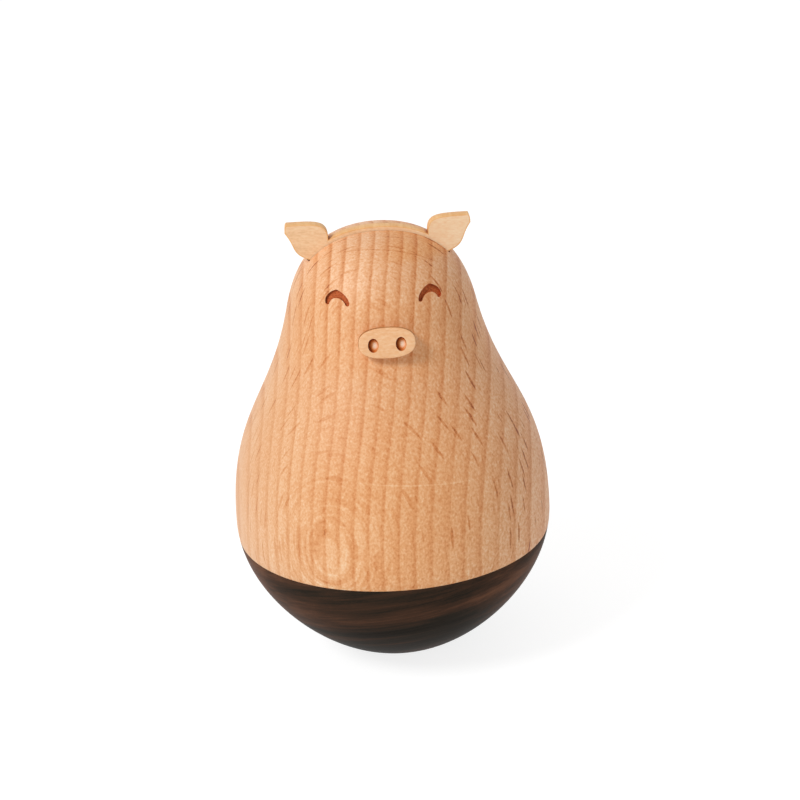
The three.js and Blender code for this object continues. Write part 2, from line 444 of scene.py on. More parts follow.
@dataclass(frozen=True)
class BeechRings:
    """Growth rings round the pith: pale just after each dark line, darkening up to the next."""

    start: float = 70.9
    spacing: float = 3.03
    sway: float = 1.0
    sway_grain: Grain = Grain((9.0, 60.0, 90.0))
    strength_sway: float = 1.5
    strength_grain: Grain = Grain((5.0, 30.0, 40.0))
    pale_span: Span = (0.87, 1.0)
    band_span: Span = (0.0, 0.9)
    band_middle: float = 0.4
    band_share: float = 0.26
    line_span: Span = (0.55, 0.87)
    line_middle: float = 0.25
    line_share: float = 0.42
    line_near_pith: float = 0.5
    line_outward: Span = (0.2, 1.0)

    def shade(self, graph: Graph, place: bpy.types.NodeSocket, radius: Field) -> Field:
        """The change of tone that the rings make, which is stronger away from the pith.

        Args:
            graph: The material that they are drawn in.
            place: The place out from the pith, round it and along it.
            radius: The distance from the pith.

        Returns:
            The change, about 0.
        """
        outward = radius / self.start
        sway = graph.noise(place, self.sway_grain)
        phase = ((radius - self.start + self.sway * sway) / self.spacing).fraction()
        pale = phase.step(*self.pale_span)
        band = self.band_middle - phase.step(*self.band_span) + pale
        line = self.line_middle - phase.step(*self.line_span) + pale
        clear = self.line_near_pith + (1 - self.line_near_pith) * outward.step(*self.line_outward)
        strength = 1 + self.strength_sway * graph.noise(place, self.strength_grain)
        return (self.band_share * band * outward + self.line_share * line * clear) * strength


@dataclass(frozen=True)
class BeechFinish:
    """Oiled, turned beech: growth rings, ray flecks across them and fine pores.

    The figure is solid. It is drawn in the trunk's own axes: out from the pith, round it and along it, so
    that it runs through the turning as in real wood.
    """

    name: str = "oiled_beech"
    pith: Vector = Vector((-70.0, -4.0, 60.0))
    trunk: Vector = Vector((0.044, 0.047, 1.0))
    tone: float = 0.533
    tones: Stops = (
        (0.0, tint("a0522a")),
        (0.25, tint("d38750")),
        (0.5, tint("e7a876")),
        (0.7, tint("f3c298")),
        (1.0, tint("ffe5ca")),
    )

    rings: BeechRings = BeechRings()
    ring_share: float = 0.27
    head_ring_gain: float = 0.5
    head_height: Span = (8.0, 30.0)

    flecks: Lenses = Lenses((9.2, 0.76, 10.2), (0.29, 0.19), (0.12, 0.4))
    fine_flecks: Lenses = Lenses((4.5, 0.42, 5.0), (0.38, 0.2), (0.35, 0.95))
    fine_fleck_share: float = 0.35
    fleck_share: float = 0.5
    fleck_on_rays: float = 0.22
    fleck_outward: Span = (0.1, 0.9)

    sheets: Grain = Grain((12.0, 0.17, 12.0))
    sheet_share: float = 0.6
    sheet_level: float = -23.0
    sheet_reach: Span = (20.0, 4.0)
    sheet_narrowness: float = 9.0
    faint_sheet_share: float = 0.16
    faint_sheet_narrowness: float = 3.0

    mottle: Grain = Grain((0.5, 0.4, 0.7))
    mottle_share: float = 0.5
    pores: Grain = Grain((0.35, 0.3, 0.4))
    pore_share: float = 0.34
    blotch: Grain = Grain((14.0, 14.0, 30.0), 2.0)
    blotch_share: float = 0.16
    clamp_mark: ToolMark = ToolMark(Vector((1.8, -11.05, 94.88)), Vector((0.147, 0.745, 0.651)), -0.2, 15.0)
    sanding_mark: ToolMark = ToolMark(Vector((5.0, -32.0, 50.48)), Vector((0.085, 0.0, 0.996)), 0.13, 14.0)

    warmth: Colour = (0.99, 0.91, 0.76)
    warm_aside: Span = (12.0, 34.0)
    warm_sway: float = 0.6
    warm_crown_height: Span = (34.5, 37.0)
    warm_crown_along: Span = (67.0, 73.0)
    warm_face_height: float = 21.5
    warm_face_reach: Span = (11.0, 4.0)
    warm_face_share: float = 0.4
    # painted sheen: the left side, towards the lamp, is paler and less orange
    painted_sheen: Colour = (0.98, 1.05, 1.1)
    sheen_along: Span = (64.0, 40.0)
    # painted light: lighter towards the seam for light bounced from the floor, and a painted highlight high
    # on the left of the forehead
    painted_light: Colour = (1.04, 1.08, 1.13)
    bounce_light_height: Span = (-6.0, -22.0)
    brow_highlight_height: Span = (25.0, 32.0)
    brow_highlight_along: Span = (72.0, 65.0)

    roughness: float = 0.5
    pore_smoothness: float = 0.12
    blotch_roughness: float = 0.05
    relief: float = 0.05
    relief_strength: float = 0.5
    pore_relief: float = 0.5
    fleck_relief: float = 0.1
    gloss: float = 0.28
    sheen: float = 0.04

    def material(self) -> bpy.types.Material:
        """Makes the material.

        Returns:
            The finished material.
        """
        graph = MaterialGraph(self.name)
        upright = self.trunk.rotation_difference(Vector((0.0, 0.0, 1.0)))
        trunk = graph.axes(graph.coordinates(upright.to_euler(), self.pith))
        along, aside, height = trunk
        radius = (along * along + aside * aside) ** 0.5
        outward = radius / self.rings.start
        place = graph.vector(radius, aside.angle(along) * self.rings.start, height)
        edge_on = self._edge_on(graph, along, aside, radius)
        pores = graph.noise(place, self.pores)
        blotch = graph.noise(place, self.blotch)
        rings = self.rings.shade(graph, place, radius)
        rings = rings * (1 + self.head_ring_gain * height.step(*self.head_height))
        fine_flecks = graph.marks(place, self.fine_flecks)
        flecks = graph.marks(place, self.flecks) + self.fine_fleck_share * fine_flecks
        flecks = flecks * (self.fleck_on_rays + (1 - self.fleck_on_rays) * edge_on)
        flecks = flecks * outward.step(*self.fleck_outward)
        mottle = graph.noise(place, self.mottle) * outward
        sheets = graph.noise(place, self.sheets) * self._sheet_strength(1 - edge_on, height)
        fine = self.mottle_share * mottle + self.pore_share * pores + self.sheet_share * sheets
        marks = self.clamp_mark.shade(graph) + self.sanding_mark.shade(graph)
        tone = self.tone + self.ring_share * rings + fine + self.blotch_share * blotch
        tone = tone - self.fleck_share * flecks + marks
        relief = self.pore_relief * pores - self.fleck_relief * flecks
        graph.dress(
            Base_Color=self._tinted(graph, graph.ramp(tone, self.tones), blotch, trunk),
            Roughness=self.roughness - self.pore_smoothness * pores + self.blotch_roughness * blotch,
            Normal=graph.bump(relief, self.relief, self.relief_strength),
            Specular_IOR_Level=self.gloss,
            Sheen_Weight=self.sheen,
        )
        return graph.material

    @staticmethod
    def _edge_on(graph: Graph, along: Field, aside: Field, radius: Field) -> Field:
        """1 where the surface of the turning cuts across the rays, and 0 where it runs along them.

        Args:
            graph: The material.
            along: The distance from the pith along the trunk's first axis.
            aside: The distance from the pith along the trunk's second axis.
            radius: The distance from the pith.

        Returns:
            A number from 0 to 1.
        """
        x, y, _ = graph.axes(graph.coordinates())
        return 1 - (abs(y * along - x * aside) / (radius * (x * x + y * y) ** 0.5)) ** 2

    def _sheet_strength(self, flat_on: Field, height: Field) -> Field:
        """How far the rays show as sheets, most of all in the eye of the figure low on the side.

        Args:
            flat_on: 1 where the surface runs along the rays, and 0 where it cuts across them.
            height: The height in the trunk's axes.

        Returns:
            A number from 0 to about 1.
        """
        eye = abs(height - self.sheet_level).step(*self.sheet_reach)
        faint = self.faint_sheet_share * flat_on**self.faint_sheet_narrowness
        return flat_on**self.sheet_narrowness * eye + faint

    def _tinted(
        self,
        graph: Graph,
        colour: bpy.types.NodeSocket,
        blotch: Field,
        trunk: tuple[Field, Field, Field],
    ) -> bpy.types.NodeSocket:
        """Makes the wood warmer or paler by place: warmer over the front, on the top of the crown and in a
        band at the height of the face; paler on the left with painted sheen; lighter towards the seam with
        painted light bounced from the floor, and high on the left of the forehead with a painted highlight.

        Args:
            graph: The material.
            colour: The wood's colour.
            blotch: Coarse noise, which makes the border uneven.
            trunk: The place in the trunk's axes.

        Returns:
            A colour socket.
        """
        along, aside, height = trunk
        crown = height.step(*self.warm_crown_height) * along.step(*self.warm_crown_along)
        face = self.warm_face_share * abs(height - self.warm_face_height).step(*self.warm_face_reach)
        warm = (self.warm_sway * blotch - aside).step(*self.warm_aside) + crown + face
        # painted highlight high on the left of the forehead, and painted bounce light towards the seam
        brow_highlight = height.step(*self.brow_highlight_height) * along.step(*self.brow_highlight_along)
        painted_light = height.step(*self.bounce_light_height) + brow_highlight
        colour = graph.mix(warm, colour, self.warmth, "MULTIPLY")
        # painted sheen: paler towards the left, on the lamp's side
        colour = graph.mix(along.step(*self.sheen_along), colour, self.painted_sheen, "MULTIPLY")
        return graph.mix(painted_light, colour, self.painted_light, "MULTIPLY")


@dataclass(frozen=True)
class WalnutFinish:
    """Oiled dark walnut whose trunk lay level, with red-brown and near-black streaks and a painted rim
    sheen.
    """

    name: str = "oiled_walnut"
    turn: Euler = Euler((math.radians(6), math.radians(8), math.radians(12)))
    tone: float = 0.46
    tones: Stops = (
        (0.0, tint("1a1611")),
        (0.4, tint("2e2720")),
        (0.65, tint("493428")),
        (1.0, tint("6e4b38")),
    )
    streaks: Grain = Grain((80.0, 26.0, 5.0), 3.0)
    streak_share: float = 1.9
    threads: Grain = Grain((26.0, 2.4, 0.5), 2.0)
    thread_share: float = 0.45
    pores: Grain = Grain((3.0, 0.3, 0.3))
    pore_share: float = 0.3
    # painted sheen: the tone is raised towards the left and right rims
    rim_sheen_span: Span = (8.0, 32.0)
    rim_sheen_share: float = 0.38
    roughness: float = 0.42
    thread_roughness: float = 0.1
    relief: float = 0.04
    relief_strength: float = 0.35
    gloss: float = 0.012

    def material(self) -> bpy.types.Material:
        """Makes the material.

        Returns:
            The finished material.
        """
        graph = MaterialGraph(self.name)
        place = graph.coordinates(self.turn)
        streaks = graph.noise(place, self.streaks)
        threads = graph.noise(place, self.threads)
        pores = graph.noise(place, self.pores)
        x, _, _ = graph.axes(graph.coordinates())
        # painted sheen: lighter towards the left and right rims
        tone = self.tone + self.rim_sheen_share * abs(x).step(*self.rim_sheen_span) + self.streak_share * streaks
        tone = tone + self.thread_share * threads - self.pore_share * abs(pores)
        graph.dress(
            Base_Color=graph.ramp(tone, self.tones),
            Roughness=self.roughness + self.thread_roughness * threads,
            Normal=graph.bump(threads + pores, self.relief, self.relief_strength),
            Specular_IOR_Level=self.gloss,
        )
        return graph.material


@dataclass(frozen=True)
class PlateFinish:
    """The pale sanded faces of a thin cut plate, with faint level grain."""

    name: str = "plate_face"
    turn: Euler = Euler((0.0, math.radians(-4), 0.0))
    tone: float = 0.63
    tones: Stops = (
        (0.0, tint("dca874")),
        (0.5, tint("f8cb9c")),
        (1.0, tint("ffe3bf")),
    )
    grain: Grain = Grain((16.0, 4.0, 0.8), 3.0)
    grain_share: float = 0.4
    pores: Grain = Grain((0.9, 0.5, 0.35))
    pore_share: float = 0.7
    drift: float = 0.006
    roughness: float = 0.6
    pore_smoothness: float = 0.1
    relief: float = 0.03
    relief_strength: float = 0.4

    def material(self) -> bpy.types.Material:
        """Makes the material.

        Returns:
            The finished material.
        """
        graph = MaterialGraph(self.name)
        place = graph.coordinates(self.turn)
        grain = graph.noise(place, self.grain)
        pores = graph.noise(place, self.pores)
        x, _, _ = graph.axes(place)
        tone = self.tone + self.drift * x + self.grain_share * grain + self.pore_share * pores
        graph.dress(
            Base_Color=graph.ramp(tone, self.tones),
            Roughness=self.roughness - self.pore_smoothness * pores,
            Normal=graph.bump(pores, self.relief, self.relief_strength),
        )
        return graph.material


@dataclass(frozen=True)
class CutEdgeFinish:
    """Wood toasted by the cutting beam: scorch marks across it, and painted shade where each ear meets the
    bridge.
    """

    name: str
    pale: Colour
    scorched: Colour
    scorch: Grain = Grain((0.7, 6.0, 0.7), 2.0)
    scorch_share: float = 0.9
    cloud: Grain = Grain((5.0, 5.0, 5.0))
    cloud_share: float = 0.8
    scorched_span: Span = (-0.4, 0.4)
    # painted shade: the edge darkens towards this colour round the crease where each ear meets the bridge
    notch_shade_middle: Vector = Vector()
    notch_shade_reach: float = 1.1
    notch_shade_colour: Colour = tint("b86e3a")
    roughness: float = 0.6
    scorch_roughness: float = 0.15
    gloss: float = 0.5

    def material(self) -> bpy.types.Material:
        """Makes the material.

        Returns:
            The finished material.
        """
        graph = MaterialGraph(self.name)
        place = graph.coordinates()
        scorch = graph.noise(place, self.scorch)
        cloud = graph.noise(place, self.cloud)
        scorched = (self.scorch_share * scorch + self.cloud_share * cloud).step(*self.scorched_span)
        x, _, z = graph.axes(place)
        # painted shade: darker round the crease where each ear meets the bridge, on both sides
        away = ((abs(x) - self.notch_shade_middle.x) ** 2 + (z - self.notch_shade_middle.z) ** 2) ** 0.5
        toasted = graph.mix(scorched, self.pale, self.scorched)
        graph.dress(
            Base_Color=graph.mix(away.step(self.notch_shade_reach, 0.0), toasted, self.notch_shade_colour),
            Roughness=self.roughness + self.scorch_roughness * scorch,
            Specular_IOR_Level=self.gloss,
        )
        return graph.material


@dataclass(frozen=True)
class BurntPitFinish:
    """A shallow pit burnt by the cutting beam: pale in its depth and dark round its rim, with painted
    shade towards the upper left of the rim.

    The middle, the reach and the rise are those of the pit's mouth. The shift of the palest place, which
    paints the shade at the upper left, and the far distance, at which the tones end, are in units of the
    reach and the rise.
    """

    name: str
    middle: Vector
    reach: float
    rise: float
    # painted shade: the palest place moves down and to the right, so the upper left of the rim is painted
    # darker
    painted_light_shift: Vector = Vector((0.33, 0.0, -0.2))
    far: float = 1.3
    tones: Stops = (
        (0.0, tint("ffe9d2")),
        (0.24, tint("ffdcbc")),
        (0.4, tint("f2ac74")),
        (0.55, tint("d67c3a")),
        (0.74, tint("a04a18")),
        (1.0, tint("6a2a0e")),
    )
    cloud: Grain = Grain((0.5, 0.5, 0.5))
    cloud_share: float = 0.12
    roughness: float = 0.8
    cloud_roughness: float = 0.1
    gloss: float = 0.1

    def material(self) -> bpy.types.Material:
        """Makes the material.

        Returns:
            The finished material.
        """
        graph = MaterialGraph(self.name)
        place = graph.coordinates(middle=self.middle)
        across, _, up = graph.axes(place)
        # painted shade: the tones are centred below and to the right of the mouth's middle
        u = across / self.reach - self.painted_light_shift.x
        v = up / self.rise - self.painted_light_shift.z
        cloud = graph.noise(place, self.cloud)
        distance = (u * u + v * v) ** 0.5 / self.far + self.cloud_share * cloud
        graph.dress(
            Base_Color=graph.ramp(distance, self.tones),
            Roughness=self.roughness + self.cloud_roughness * cloud,
            Specular_IOR_Level=self.gloss,
        )
        return graph.material


@dataclass(frozen=True)
class SteelFinish:
    """Turned steel with fine tool marks."""

    name: str = "turned_steel"
    bright: Colour = tint("a3a6a9")
    dull: Colour = tint("85888c")
    dull_span: Span = (-0.3, 0.4)
    cloud: Grain = Grain((6.0, 6.0, 6.0), 2.0)
    tool_marks: Grain = Grain((20.0, 20.0, 0.15))
    roughness: float = 0.32
    mark_roughness: float = 0.2

    def material(self) -> bpy.types.Material:
        """Makes the material.

        Returns:
            The finished material.
        """
        graph = MaterialGraph(self.name)
        place = graph.coordinates()
        marks = graph.noise(place, self.tool_marks)
        dulled = graph.noise(place, self.cloud).step(*self.dull_span)
        graph.dress(
            Base_Color=graph.mix(dulled, self.bright, self.dull),
            Roughness=self.roughness + self.mark_roughness * marks,
            Metallic=1.0,
        )
        return graph.material


# Mesh making


def arc(middle: Vector, reach: Vector, rise: Vector, start: float, end: float, steps: int) -> Loop:
    """Points on part of an ellipse.

    Args:
        middle: Its middle.
        reach: From the middle to the place at angle 0.
        rise: From the middle to the place at a quarter turn.
        start: The first angle, in radians.
        end: The last angle, in radians.
        steps: The number of steps.

    Returns:
        The points, with both ends.
    """
    angles = (start + (end - start) * i / steps for i in range(steps + 1))
    return [middle + reach * math.cos(a) + rise * math.sin(a) for a in angles]


def chained(curves: Sequence[Sequence[Vector]], steps: int) -> Loop:
    """Points along curves that follow on from each other.

    Args:
        curves: The start, the two handles and the end of each curve.
        steps: The number of steps in each curve.

    Returns:
        The points, with both ends.
    """
    points = [curves[0][0]]
    for curve in curves:
        points += interpolate_bezier(*curve, steps + 1)[1:]
    return points


def mirrored(points: Sequence[Vector]) -> Loop:
    """The same points on the other side of X, from the last to the first."""
    return [Vector((-p.x, p.y, p.z)) for p in reversed(points)]


def only(kind: type, items: Iterable[Any]) -> list[Any]:
    """The mesh items of one kind."""
    return [item for item in items if isinstance(item, kind)]


def turned(profile: Sequence[Vector], sides: int) -> bmesh.types.BMesh:
    """Turns a profile round the Z axis into one closed solid.

    Args:
        profile: Points in the XZ plane, from the axis back to the axis.
        sides: The number of steps in a full turn.

    Returns:
        The solid.
    """
    bm = bmesh.new()
    verts = [bm.verts.new(point) for point in profile]
    edges = [bm.edges.new(pair) for pair in zip(verts, verts[1:])]
    bmesh.ops.spin(
        bm,
        geom=verts + edges,
        axis=(0, 0, 1),
        cent=(0, 0, 0),
        angle=2 * math.pi,
        steps=sides,
        use_merge=True,
    )
    bmesh.ops.remove_doubles(bm, verts=bm.verts, dist=WELD)
    bmesh.ops.recalc_face_normals(bm, faces=bm.faces)
    return bm


def prism(loop: Sequence[Vector], run: Vector) -> bmesh.types.BMesh:
    """Draws a flat loop out along a straight run.

    Args:
        loop: The corners of a flat outline.
        run: The way and distance that it is drawn out.

    Returns:
        The solid.
    """
    bm = bmesh.new()
    face = bm.faces.new([bm.verts.new(point) for point in loop])
    made = bmesh.ops.extrude_face_region(bm, geom=[face], use_keep_orig=True)["geom"]
    bmesh.ops.translate(bm, verts=only(bmesh.types.BMVert, made), vec=run)
    bmesh.ops.recalc_face_normals(bm, faces=bm.faces)
    return bm


def soften(bm: bmesh.types.BMesh, edges: Iterable[bmesh.types.BMEdge], width: float, steps: int) -> None:
    """Rounds edges over.

    Args:
        bm: The mesh.
        edges: The edges to round.
        width: How far the rounding reaches to each side.
        steps: The number of faces across it.
    """
    bmesh.ops.bevel(
        bm,
        geom=list(edges),
        offset=width,
        offset_type="OFFSET",
        affect="EDGES",
        segments=steps,
        profile=0.5,
        material=-1,
    )


def piece(
    name: str,
    bm: bmesh.types.BMesh,
    materials: Sequence[bpy.types.Material],
) -> bpy.types.Object:
    """Makes an object of a mesh, smooth apart from its creases.

    Args:
        name: The object's name.
        bm: The mesh, which is used up.
        materials: Its materials in the order of the faces' material numbers.

    Returns:
        The object.
    """
    mesh = bpy.data.meshes.new(name)
    bm.to_mesh(mesh)
    bm.free()
    for material in materials:
        mesh.materials.append(material)
    made = bpy.data.objects.new(name, mesh)
    bpy.context.scene.collection.objects.link(made)
    smooth(made)
    return made


def smooth(made: bpy.types.Object) -> None:
    """Shades an object smooth apart from its creases."""
    made.data.shade_smooth()
    made.data.set_sharp_from_angle(angle=CREASE)


def carve(blank: bpy.types.Object, cutters: Sequence[bpy.types.Object]) -> None:
    """Cuts solids out of a blank for good. Each cut surface keeps its cutter's material.

    Args:
        blank: The object to cut.
        cutters: The solids to take away, which are used up.
    """
    for cutter in cutters:
        cut = blank.modifiers.new(cutter.name, "BOOLEAN")
        cut.object = cutter
        cut.operation = "DIFFERENCE"
        cut.solver = "EXACT"
        cut.material_mode = "TRANSFER"
    depsgraph = bpy.context.evaluated_depsgraph_get()
    mesh = bpy.data.meshes.new_from_object(blank.evaluated_get(depsgraph))
    mesh.name = blank.name
    blank.modifiers.clear()
    blank.data = mesh
    for cutter in cutters:
        bpy.data.objects.remove(cutter)


def seat(made: bpy.types.Object, node: str) -> None:
    """Makes a piece stand for a CAD node and ride with the toy.

    Args:
        made: The piece.
        node: The CAD node that it stands for.
    """
    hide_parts(node)
    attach(made, BODY_NAME)
    LOG.info("%s: %d faces", made.name, len(made.data.polygons))


# The toy


@dataclass
class Outline:
    """The outline that both turnings share, as radius and height, and where the frame puts it."""

    foot_radius: float = 4.3 * MM
    temple_radius: float = 20.45 * MM
    temple_lean: float = math.radians(12.9)
    crown_rise: float = 17.2 * MM
    temple_rise: float = 48.3 * MM
    foot_fullness: float = 11.8 * MM
    bilge_fullness: float = 16.1 * MM
    belly_fullness: float = 24.8 * MM
    neck_fullness: float = 21.9 * MM
    temple_fullness: float = 9.5 * MM
    crown_fullness: float = 13.7 * MM
    steps: int = 56
    belly_radius: float = field(init=False)
    belly_height: float = field(init=False)
    temple_height: float = field(init=False)
    crown: float = field(init=False)
    seam: float = field(init=False)
    points: Loop = field(init=False)

    def __post_init__(self) -> None:
        """Takes the belly, the crown and the seam from the frame and draws the outline."""
        low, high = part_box("body")
        self.belly_radius = high.x - WELD
        self.seam = low.z
        self.crown = high.z
        self.temple_height = self.crown - self.crown_rise
        self.belly_height = self.temple_height - self.temple_rise
        self.points = self._drawn()

    def _drawn(self) -> Loop:
        """Draws the whole outline.

        Returns:
            Its points from the foot to the crown, in the XZ plane.
        """
        up = Vector((0, 0, 1))
        out = Vector((1, 0, 0))
        run = Vector((-math.sin(self.temple_lean), 0, math.cos(self.temple_lean)))
        foot = out * self.foot_radius
        belly = out * self.belly_radius + up * self.belly_height
        temple = out * self.temple_radius + up * self.temple_height
        crown = up * self.crown
        curves = (
            (foot, foot + out * self.foot_fullness, belly - up * self.bilge_fullness, belly),
            (belly, belly + up * self.belly_fullness, temple - run * self.neck_fullness, temple),
            (temple, temple + run * self.temple_fullness, crown + out * self.crown_fullness, crown),
        )
        return chained(curves, self.steps)

    def at_height(self, height: float) -> tuple[Vector, Vector]:
        """The place on the outline at a height.

        Args:
            height: The height above the foot.

        Returns:
            The place and the outward normal there, in the XZ plane.
        """
        after = next(i for i, p in enumerate(self.points) if p.z >= height)
        low, high = self.points[after - 1], self.points[after]
        run = (high - low).normalized()
        share = (height - low.z) / (high.z - low.z)
        return low.lerp(high, share), Vector((run.z, 0, -run.x))

    def crown_height(self, radius: float) -> float:
        """The height of the crown at a distance from the axis.

        Args:
            radius: The distance.

        Returns:
            The height above the foot.
        """
        crown = [p for p in self.points if p.z > self.temple_height]
        after = next(i for i, p in enumerate(crown) if p.x <= radius)
        low, high = crown[after - 1], crown[after]
        return low.lerp(high, (radius - low.x) / (high.x - low.x)).z

    def drawn_in(self, depth: float) -> Loop:
        """The outline above the belly, moved inwards.

        Args:
            depth: How far it is moved.

        Returns:
            A closed profile, from the axis back to the axis.
        """
        moved = []
        for before, point, after in zip(self.points, self.points[1:], self.points[2:]):
            run = (after - before).normalized()
            if point.z > self.belly_height:
                moved.append(point - Vector((run.z, 0, -run.x)) * depth)
        return [Vector((0, 0, moved[0].z)), *moved, Vector((0, 0, self.crown - depth))]


@dataclass
class EarPlate:
    """One thin cut plate with both ears, standing in the slot across the crown."""

    outline: Outline
    fit: float = 0.12 * MM
    root_inset: float = 4.7 * MM
    proud: float = 0.75 * MM
    rise: float = 8.05 * MM
    tip: float = 0.5 * MM
    tip_drop: float = 1.75 * MM
    tip_fullness: float = 2 / 3
    lobe_inset: float = 1.3 * MM
    lobe: Vector = Vector((4.9, 0, 1.6)) * MM
    curl: Vector = Vector((2.45, 0, 3.35)) * MM
    arch_run: float = 6.5 * MM
    arch_stand: float = 3.65 * MM
    edge: float = 0.06 * MM
    edge_steps: int = 2
    margin: float = 0.17 * MM
    flatness: float = 0.95
    steps: int = 28
    face_finish: PlateFinish = PlateFinish()
    edge_finish: CutEdgeFinish = CutEdgeFinish("plate_cut_edge", tint("fbcb8e"), tint("ecb070"))
    margin_finish: CutEdgeFinish = CutEdgeFinish("plate_margin", tint("f9c78c"), tint("eaac6a"))
    low: Vector = field(init=False)
    high: Vector = field(init=False)
    setback: float = field(init=False)
    slot_end: float = field(init=False)
    root: float = field(init=False)

    def __post_init__(self) -> None:
        """Takes the plate's place from the frame and the ends of its slot from the outline."""
        self.low, self.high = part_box("ear_plate")
        self.setback = -(self.low.y + self.high.y) / 2
        self.slot_end = math.sqrt(self.outline.at_height(self.low.z)[0].x ** 2 - self.setback**2)
        self.root = self.slot_end - self.root_inset

    def _bridge(self, x: float) -> Vector:
        """The plate's top edge between the ears, along the crown."""
        height = self.outline.crown_height(math.hypot(x, self.setback)) + self.proud
        return Vector((x, self.high.y, height))

    def _right_ear(self) -> Loop:
        """Draws the right ear's edge.

        Returns:
            Its points, from the end of the slot round the tip to the bridge.
        """
        start = Vector((self.slot_end - self.lobe_inset, self.high.y, self.low.z))
        corner = Vector((self.high.x, self.high.y, self.low.z + self.rise - WELD))
        tip_foot = corner - Vector((0, 0, self.tip_drop))
        tip_top = corner - Vector((self.tip, 0, 0))
        tip_bends = [end.lerp(corner, self.tip_fullness) for end in (tip_foot, tip_top)]
        root = self._bridge(self.root)
        curves = (
            (start, start + self.lobe, tip_foot - self.curl, tip_foot),
            (tip_foot, *tip_bends, tip_top),
            (tip_top, tip_top - Vector((self.arch_run, 0, 0)), root + Vector((0, 0, self.arch_stand)), root),
        )
        return chained(curves, self.steps)

    def build(self) -> bpy.types.Object:
        """Models the plate.

        Returns:
            The plate, in place.
        """
        right = self._right_ear()
        places = [self.root * (1 - i / self.steps) for i in range(1, 2 * self.steps)]
        loop = right + [self._bridge(x) for x in places] + mirrored(right)
        bm = prism(loop, Vector((0, self.low.y - self.high.y, 0)))
        rims = [e for e in bm.edges if abs(e.verts[0].co.y - e.verts[1].co.y) < WELD]
        soften(bm, rims, self.edge, self.edge_steps)
        sides = [face for face in bm.faces if abs(face.normal.y) > self.flatness]
        for face in bm.faces:
            face.material_index = PlateFace.EDGE
        inset = bmesh.ops.inset_region(bm, faces=sides, thickness=self.margin, use_even_offset=True)
        for face in inset["faces"]:
            face.material_index = PlateFace.MARGIN
        for face in sides:
            face.material_index = PlateFace.FRONT
        # painted shade in the crease where each ear meets the bridge
        edge_with_notch_shade = replace(self.edge_finish, notch_shade_middle=self._bridge(self.root) / MM)
        finishes = (self.face_finish, edge_with_notch_shade, self.margin_finish)
        return piece("ear_plate_cut", bm, [finish.material() for finish in finishes])

    def slot_cutter(self, finish: bpy.types.Material) -> bpy.types.Object:
        """The solid that is sawn out of the head for the plate.

        Args:
            finish: The material of the slot's walls.

        Returns:
            The solid, in place.
        """
        bm = bmesh.new()
        bmesh.ops.create_cube(bm, size=1)
        depth = self.outline.crown - self.low.z
        width = self.high.y - self.low.y + 2 * self.fit
        bmesh.ops.scale(bm, verts=bm.verts, vec=(2 * self.outline.belly_radius, width, 2 * depth))
        bmesh.ops.translate(bm, verts=bm.verts, vec=(0, -self.setback, self.low.z + depth))
        return piece("ear_slot", bm, [finish])

    def dress(self) -> None:
        """Builds the plate and puts it in the frame."""
        seat(self.build(), "ear_plate")


